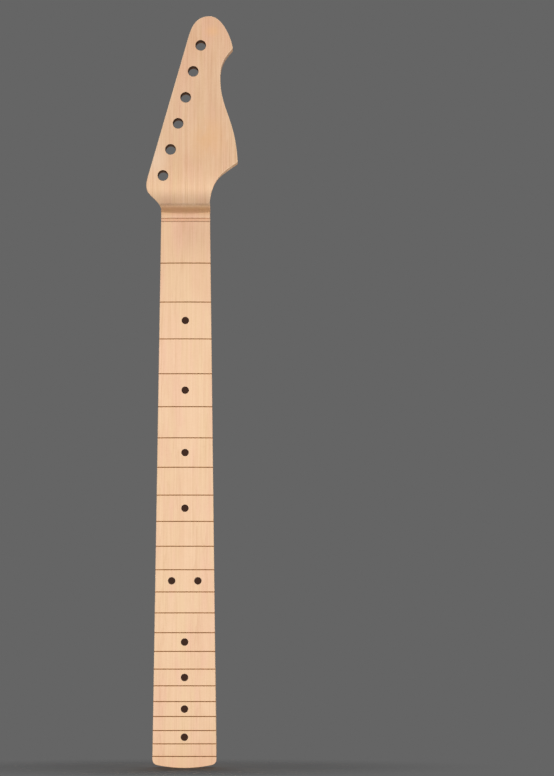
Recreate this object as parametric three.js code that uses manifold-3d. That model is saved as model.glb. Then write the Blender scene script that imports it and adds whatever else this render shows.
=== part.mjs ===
// A bolt-on electric guitar neck: maple shaft and headstock, laminated maple fretboard with its
// fret slots cut, position dots, and the two-way truss rod that lies in a channel under the board.
//
// Millimetres. +X is the treble side, -Y looks out of the fretboard and +Z runs up to the tip.
// The origin is the centre of the four heel screw holes, on the flat back of the heel.
//
// Inside the neck a place has three numbers. Across is X. The station is the distance from the nut
// towards the heel, so the headstock has negative stations. The depth is measured from the crown
// of the fretboard towards the back.
import * as THREE from "three";
import { mergeVertices } from "three/addons/utils/BufferGeometryUtils.js";
import Module from "manifold-3d";

const wasm = await Module();
wasm.setup();

// Scale and fretboard
const scale_length = 647.7;
const fret_count = 22;
const nut_width = 42.9;
const board_end_width = 55.6;
const board_past_last_fret = 9.9;
const board_thickness = 6.35;
const board_radius_at_nut = 254;
const board_radius_at_end = 406.4;
const fret_slot_width = 0.6;
const fret_slot_depth = 2.2;
const nut_slot_width = 3.5;
const nut_slot_depth = 3;
const end_arc_radius = 115;
const end_corner_radius = 4.8;

// Position dots
const dot_frets = [3, 5, 7, 9, 12, 15, 17, 19, 21];
const octave_fret = 12;
const dot_diameter = 6.35;
const dot_thickness = 2;
const octave_dot_spacing = 22.8;
const side_dot_diameter = 2;
const side_dot_length = 3;
const octave_side_dot_spacing = 6.5;
const side_dot_depth_share = 0.58;
const dot_fit = 0.06;

// Neck shaft
const thickness_at_first_fret = 20.8;
const thickness_at_octave = 22.9;
const shaft_profile_power = 2.2;

// Headstock
const head_length = 184.5;
const head_reach = 45.6;
const head_drop = 9.5;
const head_thickness = 14;
const scoop_lip_from_nut = 6.8;
const scoop_foot_from_nut = 18.5;
const scoop_lip_handle = 2.6;
const scoop_foot_handle = 3.2;
const tip_softening = 1.2;
const tuner_count = 6;
const tuner_hole_diameter = 9.2;
const tuner_pitch = 24.1;
const tuner_edge_distance = 12.6;
const first_tuner_past_corner = 4.5;

// Where the rounded back of the neck runs out into the flat back of the headstock
const fold_apex_from_nut = 13.2;
const fold_apex_to_bass = 6.8;
const fold_reach_treble = 50;
const fold_reach_bass = 36.5;
const fold_added_slope_treble = 0.11;
const fold_added_slope_bass = 1.3;
const fold_wall_power = 2.5;
const fold_blend_length = 26;

// Heel
const heel_thickness = 25.4;
const board_overhang = 6.2;
const heel_flat_length = 82;
const heel_cove_length = 9;
const heel_shoulder_radius = 5;
const heel_screw_from_end = 41.5;
const heel_screw_across = 38.1;
const heel_screw_along = 50.8;
const pilot_diameter = 3.2;
const pilot_depth = 16;

// Truss rod
const truss_from_nut = 10;
const truss_bar_width = 6;
const truss_bar_thickness = 3;
const truss_rod_diameter = 4.8;
const truss_block_height = 6.4;
const truss_block_length = 14;
const truss_nut_diameter = 8;
const truss_nut_length = 12;
const truss_nut_recess = 2;
const truss_nut_gap = 0.4;
const truss_seat_depth = 4.5;
const truss_key_size = 5;
const truss_key_depth = 5.5;
const truss_sleeve_wall = 0.4;
const truss_end_gap = 0.5;
const running_fit = 0.1;
const channel_fit = 0.15;

// How far a cutter runs past what it cuts, and how near two points are to be one
const overrun = 4;
const weld = 1e-3;

// How finely curves are divided
const outline_steps = 14;
const profile_steps = 10;
const crown_steps = 12;
const fold_steps = 11;
const blend_steps = 9;
const shaft_steps = 4;
const cove_steps = 7;
const end_arc_steps = 7;
const end_corner_steps = 5;
const scoop_steps = 14;
const tuner_hole_sides = 40;
const dot_sides = 32;
const small_hole_sides = 20;
const rod_sides = 24;

// Outline of the headstock, as shares of its reach to the treble side and of its length
const bass_root_share = 0.06;
const bass_root_handle_share = 0.077;
const bass_flare_handle_shares = [-0.533, 0.098];
const bass_flare_shares = [-0.618, 0.118];
const bass_corner_handle_shares = [-0.718, 0.145];
const bass_corner_shares = [-0.737, 0.225];
const straight_edge_top_shares = [-0.002, 0.862];
const straight_edge_handle_share = 0.072;
const crown_handle_share = 0.133;
const crown_shares = [0.46, 1];
const crown_treble_handle_share = 0.679;
const beak_handle_shares = [0.859, 0.907];
const beak_shares = [0.904, 0.843];
const beak_under_handle_shares = [0.721, 0.795];
const waist_shares = [0.662, 0.699];
const waist_upper_handle_share = 0.7605;
const waist_lower_handle_share = 0.552;
const horn_handle_shares = [0.952, 0.507];
const horn_shares = [1, 0.295];
const horn_under_handle_shares = [0.6625, 0.24];
const treble_root_handle_share = 0.198;
const treble_root_share = 0.08;

// Stations that several pieces share
const fretStation = (fret) => scale_length - scale_length / 2 ** (fret / octave_fret);
const board_end = fretStation(fret_count) + board_past_last_fret;
const heel_end = board_end - board_overhang;
const screw_station = heel_end - heel_screw_from_end;
const heel_flat_start = heel_end - heel_flat_length;
const head_back_depth = head_drop + head_thickness;
const truss_axis_depth = board_thickness + channel_fit + truss_bar_thickness + truss_block_height / 2;

// Half width of the fretboard and of the shaft under it
const halfWidth = (station) => {
  const widening = (board_end_width - nut_width) / board_end;
  return (nut_width + widening * Math.max(station, 0)) / 2;
};

// Depth of the back of the shaft on its centre line
const shaftDepth = (station) => {
  const first = fretStation(1);
  const octave = fretStation(octave_fret);
  const slope = (thickness_at_octave - thickness_at_first_fret) / (octave - first);
  return thickness_at_first_fret + slope * (station - first);
};

// A solid from any closed three.js geometry
function solidOf(geometry) {
  const bare = new THREE.BufferGeometry();
  bare.setAttribute("position", geometry.getAttribute("position"));
  bare.setIndex(geometry.getIndex());
  const merged = mergeVertices(bare, weld);
  const corners = merged.getIndex().array;
  const kept = [];
  for (let i = 0; i < corners.length; i += 3) {
    const [a, b, c] = corners.slice(i, i + 3);
    if (a !== b && b !== c && c !== a) kept.push(a, b, c);
  }
  return new wasm.Manifold(
    new wasm.Mesh({
      numProp: 3,
      vertProperties: merged.getAttribute("position").array,
      triVerts: new Uint32Array(kept),
    }),
  );
}

// The geometry of a solid, with flat facets
function geometryOf(solid) {
  const mesh = solid.getMesh();
  const indexed = new THREE.BufferGeometry();
  indexed.setAttribute("position", new THREE.BufferAttribute(mesh.vertProperties, mesh.numProp));
  indexed.setIndex(new THREE.BufferAttribute(mesh.triVerts, 1));
  const faceted = indexed.toNonIndexed();
  faceted.computeVertexNormals();
  return faceted;
}

// A closed skin over rings of [across, station, depth] points, all with the same number of points
function loft(rings) {
  const size = rings[0].length;
  const points = rings.flat().flatMap(([across, station, depth]) => [across, depth, -station]);
  const faces = [];
  for (let ring = 0; ring + 1 < rings.length; ring++) {
    for (let i = 0; i < size; i++) {
      const a = ring * size + i;
      const b = ring * size + ((i + 1) % size);
      faces.push(a, a + size, b, b, a + size, b + size);
    }
  }
  const last = (rings.length - 1) * size;
  for (let i = 1; i + 1 < size; i++) {
    faces.push(0, i, i + 1);
    faces.push(last, last + i + 1, last + i);
  }
  const geometry = new THREE.BufferGeometry();
  geometry.setAttribute("position", new THREE.Float32BufferAttribute(points, 3));
  geometry.setIndex(faces);
  return solidOf(geometry);
}

// A flat plate: an outline of (across, distance from the nut towards the tip), between two depths
function plate(outline, front, back) {
  const geometry = new THREE.ExtrudeGeometry(outline, { depth: back - front, bevelEnabled: false });
  geometry.applyMatrix4(new THREE.Matrix4().set(1, 0, 0, 0, 0, 0, -1, back, 0, 1, 0, 0, 0, 0, 0, 1));
  return solidOf(geometry);
}

// A square-edged block centred on the neck, between two stations and two depths
function block(width, start, end, front, back) {
  const geometry = new THREE.BoxGeometry(width, back - front, end - start);
  geometry.translate(0, (front + back) / 2, -(start + end) / 2);
  return solidOf(geometry);
}

// A round bore or plug through the depth of the neck
function drill(across, station, diameter, front, back, sides) {
  const geometry = new THREE.CylinderGeometry(diameter / 2, diameter / 2, back - front, sides);
  geometry.translate(across, (front + back) / 2, -station);
  return solidOf(geometry);
}

// A round bore or plug that lies across the neck
function crossDrill(from, to, station, depth, diameter, sides) {
  const geometry = new THREE.CylinderGeometry(diameter / 2, diameter / 2, to - from, sides);
  geometry.rotateZ(Math.PI / 2);
  geometry.translate((from + to) / 2, depth, -station);
  return solidOf(geometry);
}

// Stations and half widths round the end of the board or heel: soft corners and a shallow arc
function endProfile(end) {
  const side = halfWidth(end);
  const corner_across = side - end_corner_radius;
  const arc_centre = end - end_arc_radius;
  const between_centres = end_arc_radius - end_corner_radius;
  const turn = Math.asin(corner_across / between_centres);
  const corner_station = arc_centre + between_centres * Math.cos(turn);
  const profile = [];
  for (let i = 0; i < end_corner_steps; i++) {
    const angle = ((Math.PI / 2 - turn) * i) / end_corner_steps;
    const station = corner_station + end_corner_radius * Math.sin(angle);
    const inset = end_corner_radius * (1 - Math.cos(angle));
    profile.push({ station, half: halfWidth(station) - inset });
  }
  for (let i = 0; i <= end_arc_steps; i++) {
    const angle = turn * (1 - i / (end_arc_steps + 1 / 2));
    profile.push({
      station: arc_centre + end_arc_radius * Math.cos(angle),
      half: end_arc_radius * Math.sin(angle),
    });
  }
  return profile;
}

// Headstock outline, from the bass side of the nut round the tip and back to the treble side
const headPoint = ([across_share, along_share]) =>
  new THREE.Vector2(across_share * head_reach, along_share * head_length);

// A point a little way from a tip towards a curve handle, where the tip's rounding begins
const besideTip = (tip, handle) =>
  tip.clone().add(handle.clone().sub(tip).setLength(tip_softening));

function curveTo(path, first_handle, second_handle, end) {
  path.bezierCurveTo(first_handle.x, first_handle.y, second_handle.x, second_handle.y, end.x, end.y);
}

const straight_edge_start = headPoint(bass_corner_shares);
const straight_edge_top = headPoint(straight_edge_top_shares);
const straight_edge_direction = straight_edge_top.clone().sub(straight_edge_start).normalize();

function headOutline() {
  const half = nut_width / 2;
  const along = (share) => share * head_length;
  const handle = straight_edge_direction.clone().multiplyScalar(along(straight_edge_handle_share));
  const crown = headPoint(crown_shares);
  const beak = headPoint(beak_shares);
  const waist = headPoint(waist_shares);
  const horn = headPoint(horn_shares);
  const beak_handle = headPoint(beak_handle_shares);
  const beak_under_handle = headPoint(beak_under_handle_shares);
  const horn_handle = headPoint(horn_handle_shares);
  const horn_under_handle = headPoint(horn_under_handle_shares);

  const path = new THREE.Path();
  path.moveTo(-half, 0);
  path.lineTo(-half, along(bass_root_share));
  curveTo(
    path,
    new THREE.Vector2(-half, along(bass_root_handle_share)),
    headPoint(bass_flare_handle_shares),
    headPoint(bass_flare_shares),
  );
  curveTo(
    path,
    headPoint(bass_corner_handle_shares),
    straight_edge_start.clone().sub(handle),
    straight_edge_start,
  );
  path.lineTo(straight_edge_top.x, straight_edge_top.y);
  curveTo(
    path,
    straight_edge_top.clone().add(handle),
    new THREE.Vector2(crown_handle_share * head_reach, crown.y),
    crown,
  );
  curveTo(
    path,
    new THREE.Vector2(crown_treble_handle_share * head_reach, crown.y),
    beak_handle,
    besideTip(beak, beak_handle),
  );
  const under_beak = besideTip(beak, beak_under_handle);
  path.quadraticCurveTo(beak.x, beak.y, under_beak.x, under_beak.y);
  curveTo(path, beak_under_handle, new THREE.Vector2(waist.x, along(waist_upper_handle_share)), waist);
  curveTo(
    path,
    new THREE.Vector2(waist.x, along(waist_lower_handle_share)),
    horn_handle,
    besideTip(horn, horn_handle),
  );
  const under_horn = besideTip(horn, horn_under_handle);
  path.quadraticCurveTo(horn.x, horn.y, under_horn.x, under_horn.y);
  curveTo(
    path,
    horn_under_handle,
    new THREE.Vector2(half, along(treble_root_handle_share)),
    new THREE.Vector2(half, along(treble_root_share)),
  );
  path.lineTo(half, 0);
  return path.getPoints(outline_steps);
}

const head_outline = headOutline();
const tip_index = head_outline.findIndex((point) => point.y === Math.max(...head_outline.map((p) => p.y)));
const bass_outline = head_outline.slice(0, tip_index + 1);
const treble_outline = head_outline.slice(tip_index).reverse();

// Where one side of the outline is at a distance above the nut
function edgeAt(side, up) {
  const next = side.findIndex((point) => point.y >= up && point.y > 0);
  const above = side[next];
  const below = side[next - 1];
  return below.x + ((above.x - below.x) * (up - below.y)) / (above.y - below.y);
}

const outerEdge = (outline, side, station) =>
  station < 0 ? edgeAt(outline, -station) : side * halfWidth(station);

// One side of a section of the back: a superellipse from the wall at the edge towards the crown,
// as far as the flat that it runs into, or all the way where the crown is the deepest point
function quarter(outer, crown, wall_depth, crown_depth, flat_depth) {
  const power = 2 / shaft_profile_power;
  const depth_to_flat = (flat_depth - wall_depth) / (crown_depth - wall_depth);
  const last_angle = Math.asin(THREE.MathUtils.clamp(depth_to_flat, 0, 1) ** (1 / power));
  const points = [];
  for (let i = 0; i <= profile_steps; i++) {
    const angle = (last_angle * i) / profile_steps;
    const out = Math.max(Math.cos(angle), 0) ** power;
    const down = Math.sin(angle) ** power;
    points.push([crown + (outer - crown) * out, wall_depth + (crown_depth - wall_depth) * down]);
  }
  return points;
}

// A ring round the neck: the flat under the fretboard, then the treble and bass sides of the back
function ringOf(station, treble, treble_side, bass_side, bass) {
  const section = [[treble, board_thickness], ...treble_side, ...bass_side.reverse(), [bass, board_thickness]];
  return section.map(([across, depth]) => [across, station, depth]);
}

// Behind the nut the rounded back sinks on below the flat of the headstock, ever more steeply, while
// its walls come down to meet it, so that back and flat cross in a fold shaped like a shallow V
const apex_slope = (2 * (head_back_depth - shaftDepth(-fold_apex_from_nut))) / fold_blend_length;

function foldSide(station, outer, reach, added_slope) {
  const past_apex = -station - fold_apex_from_nut;
  const progress = THREE.MathUtils.clamp(past_apex / (reach - fold_apex_from_nut), 0, 1);
  const wall = board_thickness + (head_back_depth - board_thickness) * progress ** fold_wall_power;
  const crown_depth = head_back_depth + (apex_slope + added_slope * progress) * past_apex;
  return quarter(outer, -fold_apex_to_bass, wall, crown_depth, head_back_depth);
}

function foldRing(station) {
  const treble = edgeAt(treble_outline, -station);
  const bass = edgeAt(bass_outline, -station);
  return ringOf(
    station,
    treble,
    foldSide(station, treble, fold_reach_treble, fold_added_slope_treble),
    foldSide(station, bass, fold_reach_bass, fold_added_slope_bass),
    bass,
  );
}

// Past the fold's apex the back eases down to the plain taper of the shaft, as steeply at first as
// it sinks below the flat, and its crown moves over to the centre line
function shaftRing(station) {
  const treble = outerEdge(treble_outline, 1, station);
  const bass = outerEdge(bass_outline, -1, station);
  const progress = THREE.MathUtils.clamp((station + fold_apex_from_nut) / fold_blend_length, 0, 1);
  const back = shaftDepth(station) + (head_back_depth - shaftDepth(station)) * (1 - progress) ** 2;
  const crown = -fold_apex_to_bass * (1 - THREE.MathUtils.smoothstep(progress, 0, 1));
  return ringOf(
    station,
    treble,
    quarter(treble, crown, board_thickness, back, back),
    quarter(bass, crown, board_thickness, back, back),
    bass,
  );
}

// Sections of the shaft and heel as shares of the half width and of the depth behind the board
const bass_half_shares = quarter(-1, 0, 0, 1, 1);
const section_shares = [...quarter(1, 0, 0, 1, 1), ...bass_half_shares.reverse()];

// The back rises to the flat of the heel in a cove, which turns back round a corner at each side
function coveRing(angle) {
  const side = halfWidth(heel_flat_start);
  const before_flat = heel_cove_length * (1 - Math.sin(angle));
  const stationAt = (share) => {
    const into_corner = Math.max(Math.abs(share) * side - (side - heel_shoulder_radius), 0);
    const turn = Math.asin(Math.min(into_corner / heel_shoulder_radius, 1));
    return heel_flat_start + heel_shoulder_radius * (1 - Math.cos(turn)) - before_flat;
  };
  const ring = section_shares.map(([across_share, depth_share]) => {
    const station = stationAt(across_share);
    const depth = board_thickness + (shaftDepth(station) - board_thickness) * depth_share;
    const lifted = heel_thickness + (depth - heel_thickness) * Math.cos(angle);
    return [across_share * halfWidth(station), station, lifted];
  });
  const edge_station = stationAt(1);
  const edge = halfWidth(edge_station);
  return [[edge, edge_station, board_thickness], ...ring, [-edge, edge_station, board_thickness]];
}

function heelRing(station, half) {
  const back = section_shares.map(([across_share]) => [across_share * half, heel_thickness]);
  return ringOf(station, half, back, [], -half);
}

// Evenly spaced values after the first end, up to and with the second
const spread = (from, to, steps) =>
  Array.from({ length: steps }, (_, i) => from + ((to - from) * (i + 1)) / steps);

// The rounded shaft, from where the fold leaves the outline to the end of the heel
function shaftSolid() {
  const foldStations = (reach) =>
    spread(0, 1, fold_steps).map(
      (share) => -fold_apex_from_nut - (reach - fold_apex_from_nut) * share ** shaft_profile_power,
    );
  const folds = [...foldStations(fold_reach_treble), ...foldStations(fold_reach_bass)].sort((a, b) => a - b);
  const cove_start = heel_flat_start - heel_cove_length;
  const blend_end = fold_blend_length - fold_apex_from_nut;
  return loft([
    ...folds.map(foldRing),
    shaftRing(-fold_apex_from_nut),
    ...spread(-fold_apex_from_nut, blend_end, blend_steps).map(shaftRing),
    ...spread(blend_end, cove_start, shaft_steps).slice(0, -1).map(shaftRing),
    ...[0, ...spread(0, Math.PI / 2, cove_steps)].map(coveRing),
    ...endProfile(heel_end).map(({ station, half }) => heelRing(station, half)),
  ]);
}

// The flat headstock above the folds, with a tongue that laps the start of the shaft
function headSolid() {
  const above = head_outline.filter((point) => point.y > fold_reach_treble);
  const tongue = new THREE.Vector2(-fold_apex_to_bass, (fold_reach_treble + fold_apex_from_nut) / 2);
  const bass = new THREE.Vector2(edgeAt(bass_outline, fold_reach_treble), fold_reach_treble);
  const treble = new THREE.Vector2(edgeAt(treble_outline, fold_reach_treble), fold_reach_treble);
  return plate(new THREE.Shape([bass, ...above, treble, tongue]), board_thickness, head_back_depth);
}

// What is cleared away in front of the headstock: a flat, and an ogee that swings up to the shelf
// behind the nut, drawn as distance from the nut towards the tip against depth
function scoopCutter() {
  const width = 2 * head_reach + overrun;
  const above_tip = head_length + overrun;
  const profile = new THREE.Shape();
  profile.moveTo(scoop_lip_from_nut, -overrun);
  profile.lineTo(scoop_lip_from_nut, 0);
  curveTo(
    profile,
    new THREE.Vector2(scoop_lip_from_nut + scoop_lip_handle, 0),
    new THREE.Vector2(scoop_foot_from_nut - scoop_foot_handle, head_drop),
    new THREE.Vector2(scoop_foot_from_nut, head_drop),
  );
  profile.lineTo(above_tip, head_drop);
  profile.lineTo(above_tip, -overrun);
  const options = { depth: width, bevelEnabled: false, curveSegments: scoop_steps };
  const geometry = new THREE.ExtrudeGeometry(profile, options);
  geometry.applyMatrix4(new THREE.Matrix4().set(0, 0, -1, width / 2, 0, 1, 0, 0, 1, 0, 0, 0, 0, 0, 0, 1));
  return solidOf(geometry);
}

// Tuner holes, in a line along the straight edge
function tunerPlaces() {
  const inward = new THREE.Vector2(straight_edge_direction.y, -straight_edge_direction.x);
  return Array.from({ length: tuner_count }, (_, i) =>
    straight_edge_start
      .clone()
      .addScaledVector(straight_edge_direction, first_tuner_past_corner + i * tuner_pitch)
      .addScaledVector(inward, tuner_edge_distance),
  );
}

// The truss rod's channel, open at the heel end, with a wider bore there for the adjusting nut
const truss_front = truss_from_nut;
const truss_nut_end = heel_end - truss_nut_recess;
const truss_nut_start = truss_nut_end - truss_nut_length;
const rear_block_end = truss_nut_start - truss_end_gap;
const rear_block_start = rear_block_end - truss_block_length;
const front_block_end = truss_front + truss_block_length;

function channelCutter() {
  const width = truss_bar_width + 2 * channel_fit;
  const floor = truss_axis_depth + truss_block_height / 2 + channel_fit;
  const start = truss_front - channel_fit;
  const channel = block(width, start, heel_end + overrun, board_thickness - overrun, floor);
  const bore_length = heel_end + overrun - rear_block_end;
  const bore_radius = truss_nut_diameter / 2 + truss_nut_gap;
  const bore = new THREE.CylinderGeometry(bore_radius, bore_radius, bore_length, rod_sides);
  bore.rotateX(Math.PI / 2);
  bore.translate(0, truss_axis_depth, -(rear_block_end + bore_length / 2));
  return channel.add(solidOf(bore));
}

function neckShaft() {
  let neck = shaftSolid().add(headSolid()).subtract(scoopCutter()).subtract(channelCutter());
  for (const place of tunerPlaces()) {
    neck = neck.subtract(
      drill(place.x, -place.y, tuner_hole_diameter, 0, head_back_depth + overrun, tuner_hole_sides),
    );
  }
  for (const side of [-1, 1]) {
    for (const end of [-1, 1]) {
      const across = (side * heel_screw_across) / 2;
      const station = screw_station + (end * heel_screw_along) / 2;
      const bottom = heel_thickness - pilot_depth;
      neck = neck.subtract(
        drill(across, station, pilot_diameter, bottom, heel_thickness + overrun, small_hole_sides),
      );
    }
  }
  return neck;
}

// Section of the fretboard: flat underneath, crowned to the radius of its station on top
function boardRing(station, half) {
  const along = Math.max(station, 0) / board_end;
  const radius = board_radius_at_nut + (board_radius_at_end - board_radius_at_nut) * along;
  const ring = [
    [-half, station, board_thickness],
    [half, station, board_thickness],
  ];
  for (let i = 0; i <= crown_steps; i++) {
    const across = half * (1 - (2 * i) / crown_steps);
    ring.push([across, station, radius - Math.sqrt(radius ** 2 - across ** 2)]);
  }
  return ring.reverse();
}

function boardBlank() {
  const end = endProfile(board_end);
  const rings = [boardRing(-scoop_foot_from_nut, halfWidth(0)), boardRing(0, halfWidth(0))];
  for (const station of spread(0, end[0].station, shaft_steps).slice(0, -1)) {
    rings.push(boardRing(station, halfWidth(station)));
  }
  for (const { station, half } of end) rings.push(boardRing(station, half));
  return loft(rings);
}

// Places of the face dots and side dots: midway between the frets, and a pair at the octave
function dotPlaces() {
  const places = [];
  for (const fret of dot_frets) {
    const station = (fretStation(fret - 1) + fretStation(fret)) / 2;
    const label = String(fret).padStart(2, "0");
    if (fret !== octave_fret) {
      places.push({ label, station, across: 0, shift: 0 });
      continue;
    }
    for (const [side, name] of [[-1, "bass"], [1, "treble"]]) {
      places.push({
        label: label + "_" + name,
        station,
        across: (side * octave_dot_spacing) / 2,
        shift: (side * octave_side_dot_spacing) / 2,
      });
    }
  }
  return places;
}

const side_dot_depth = side_dot_depth_share * board_thickness;

function sideDotDrill(place, diameter) {
  const station = place.station + place.shift;
  const edge = -halfWidth(station);
  return crossDrill(edge - overrun, edge + side_dot_length, station, side_dot_depth, diameter, small_hole_sides);
}

function faceDotDrill(place, diameter) {
  return drill(place.across, place.station, diameter, -overrun, dot_thickness, dot_sides);
}

function fretboard(blank) {
  let board = blank.subtract(scoopCutter());
  const reach = board_end_width + overrun;
  for (let fret = 1; fret <= fret_count; fret++) {
    const start = fretStation(fret) - fret_slot_width / 2;
    board = board.subtract(block(reach, start, start + fret_slot_width, -overrun, fret_slot_depth));
  }
  board = board.subtract(block(reach, -nut_slot_width, 0, -overrun, nut_slot_depth));
  for (const place of dotPlaces()) {
    board = board.subtract(faceDotDrill(place, dot_diameter + 2 * dot_fit));
    board = board.subtract(sideDotDrill(place, side_dot_diameter + 2 * dot_fit));
  }
  return board;
}

// Turned pieces of the truss rod, from a closed profile of [radius, station] points
function turned(profile) {
  const points = profile.map(([radius, station]) => new THREE.Vector2(radius, -station));
  const geometry = new THREE.LatheGeometry(points, rod_sides);
  geometry.rotateX(Math.PI / 2);
  return solidOf(geometry);
}

const rod_radius = truss_rod_diameter / 2;
const bore_radius = rod_radius + running_fit;
const rod_end = truss_nut_start + truss_seat_depth;

function trussRod() {
  return turned([
    [0, rod_end],
    [rod_radius, rod_end],
    [rod_radius, truss_front + truss_end_gap],
    [0, truss_front + truss_end_gap],
  ]);
}

function trussSleeve() {
  const start = front_block_end + truss_end_gap;
  const end = rear_block_start - truss_end_gap;
  const outer = bore_radius + truss_sleeve_wall;
  return turned([
    [bore_radius, end],
    [outer, end],
    [outer, start],
    [bore_radius, start],
    [bore_radius, end],
  ]);
}

// The adjusting nut: a seat for the rod at its front and a hexagon socket for the key behind
function trussNut() {
  const outer = truss_nut_diameter / 2;
  const body = turned([
    [0, truss_nut_end],
    [outer, truss_nut_end],
    [outer, truss_nut_start],
    [bore_radius, truss_nut_start],
    [bore_radius, rod_end],
    [0, rod_end],
  ]);
  const corner = truss_key_size / 2 / Math.cos(Math.PI / 6);
  const key = new THREE.CylinderGeometry(corner, corner, truss_key_depth + overrun, 6);
  key.rotateX(Math.PI / 2);
  key.translate(0, 0, -(truss_nut_end - truss_key_depth + (truss_key_depth + overrun) / 2));
  return body.subtract(solidOf(key));
}

function trussBlock(start) {
  const end = start + truss_block_length;
  const body = block(truss_bar_width, start, end, -truss_block_height / 2, truss_block_height / 2);
  const bore = turned([
    [0, end + overrun],
    [bore_radius, end + overrun],
    [bore_radius, start - overrun],
    [0, start - overrun],
  ]);
  return body.subtract(bore);
}

function trussBar() {
  const back = -truss_block_height / 2;
  return block(truss_bar_width, truss_front, rear_block_end, back - truss_bar_thickness, back);
}

// Materials
const finish = (color, roughness, metalness) => new THREE.MeshStandardMaterial({ color, roughness, metalness });
const shaft_maple = finish(0xe2bd94, 0.62, 0);
const board_maple = finish(0xecc8a2, 0.6, 0);
const dot_black = finish(0x2a1f1a, 0.45, 0);
const plated_steel = finish(0xa9abad, 0.35, 1);
const block_brass = finish(0xb89a55, 0.4, 1);
const sleeve_black = finish(0x1c1d1f, 0.6, 0);

function piece(name, solid, material) {
  const mesh = new THREE.Mesh(geometryOf(solid), material);
  mesh.name = name;
  return mesh;
}

// Assembly: everything hangs from the crown of the board at the nut, the rod from its own axis
const blank = boardBlank();
const fromNut = new THREE.Group();
fromNut.position.set(0, -heel_thickness, screw_station);
fromNut.add(piece("neck_shaft", neckShaft(), shaft_maple));
fromNut.add(piece("fretboard", fretboard(blank), board_maple));
for (const place of dotPlaces()) {
  const face = faceDotDrill(place, dot_diameter).intersect(blank);
  const side = sideDotDrill(place, side_dot_diameter).intersect(blank);
  fromNut.add(piece("face_dot_" + place.label, face, dot_black));
  fromNut.add(piece("side_dot_" + place.label, side, dot_black));
}

const truss = new THREE.Group();
truss.position.set(0, truss_axis_depth, 0);
truss.add(piece("truss_rod", trussRod(), plated_steel));
truss.add(piece("truss_adjusting_nut", trussNut(), plated_steel));
truss.add(piece("truss_bar", trussBar(), plated_steel));
truss.add(piece("truss_front_block", trussBlock(truss_front), block_brass));
truss.add(piece("truss_rear_block", trussBlock(rear_block_start), block_brass));
truss.add(piece("truss_sleeve", trussSleeve(), sleeve_black));
fromNut.add(truss);

const neck = new THREE.Group();
neck.add(fromNut);

export default neck;
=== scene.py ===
import math

import bmesh
import bpy
import numpy as np
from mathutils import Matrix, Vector


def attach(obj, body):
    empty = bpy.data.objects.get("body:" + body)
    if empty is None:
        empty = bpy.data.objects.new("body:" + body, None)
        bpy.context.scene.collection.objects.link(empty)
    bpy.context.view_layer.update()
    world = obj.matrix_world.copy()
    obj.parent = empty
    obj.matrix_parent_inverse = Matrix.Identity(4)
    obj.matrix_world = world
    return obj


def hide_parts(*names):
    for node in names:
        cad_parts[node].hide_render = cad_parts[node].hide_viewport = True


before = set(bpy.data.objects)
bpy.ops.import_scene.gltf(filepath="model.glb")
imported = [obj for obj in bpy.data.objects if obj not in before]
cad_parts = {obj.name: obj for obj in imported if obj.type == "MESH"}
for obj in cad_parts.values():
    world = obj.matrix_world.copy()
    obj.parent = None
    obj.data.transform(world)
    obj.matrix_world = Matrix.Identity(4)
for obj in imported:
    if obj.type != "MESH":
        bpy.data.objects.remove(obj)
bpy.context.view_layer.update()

# Sizes below are millimetres, and meshes are made in metres. Inside the neck a place has three
# numbers, as in the part: across is X, the station is the distance from the nut towards the heel,
# and the depth is measured from the crown of the fretboard towards the back.
MM = 0.001

# Scale and fretboard
scale_length = 647.7
fret_count = 22
nut_width = 42.9
board_end_width = 55.6
board_past_last_fret = 9.9
board_thickness = 6.35
board_radius_at_nut = 254
board_radius_at_end = 406.4
fret_slot_width = 0.6
fret_slot_depth = 2.2
nut_slot_width = 3.5
nut_slot_depth = 3
end_arc_radius = 115
end_corner_radius = 4.8

# Position dots
dot_frets = [3, 5, 7, 9, 12, 15, 17, 19, 21]
octave_fret = 12
dot_diameter = 6.35
dot_thickness = 2
octave_dot_spacing = 22.8
side_dot_diameter = 2
side_dot_length = 3
octave_side_dot_spacing = 6.5
side_dot_depth_share = 0.58
dot_fit = 0.06

# Neck shaft
thickness_at_first_fret = 20.8
thickness_at_octave = 22.9
shaft_profile_power = 2.2

# Headstock
head_length = 184.5
head_reach = 45.6
head_drop = 9.5
head_thickness = 14
scoop_lip_from_nut = 6.8
scoop_foot_from_nut = 18.5
scoop_lip_handle = 2.6
scoop_foot_handle = 3.2
tip_softening = 1.2
tuner_count = 6
tuner_hole_diameter = 9.2
tuner_pitch = 24.1
tuner_edge_distance = 12.6
first_tuner_past_corner = 4.5

# Fold between the rounded back and the flat of the headstock
fold_apex_from_nut = 13.2
fold_apex_to_bass = 6.8
fold_reach_treble = 50
fold_reach_bass = 36.5
fold_added_slope_treble = 0.11
fold_added_slope_bass = 1.3
fold_wall_power = 2.5
fold_blend_length = 26

# Heel
heel_thickness = 25.4
board_overhang = 6.2
heel_flat_length = 82
heel_cove_length = 9
heel_shoulder_radius = 5
heel_screw_from_end = 41.5
heel_screw_across = 38.1
heel_screw_along = 50.8
pilot_diameter = 3.2
pilot_depth = 16
pilot_tip_length = pilot_diameter / 4
pilot_tip_radius = pilot_diameter / 40

# Truss rod's channel and nut
truss_from_nut = 10
truss_bar_width = 6
truss_bar_thickness = 3
truss_rod_diameter = 4.8
truss_block_height = 6.4
truss_nut_diameter = 8
truss_nut_length = 12
truss_nut_recess = 2
truss_nut_gap = 0.4
truss_seat_depth = 4.5
truss_key_size = 5
truss_key_depth = 5.5
truss_nut_chamfer = 0.5
truss_key_chamfer = 0.35
truss_end_gap = 0.5
running_fit = 0.1
channel_fit = 0.15

# Sanded edges
head_edge_round = 0.8
heel_edge_round = 0.6
board_edge_round = 0.35
hole_rim_round = 0.2
pilot_rim_round = 0.25
dot_rim_round = 0.08
cutter_overrun = 4

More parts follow.
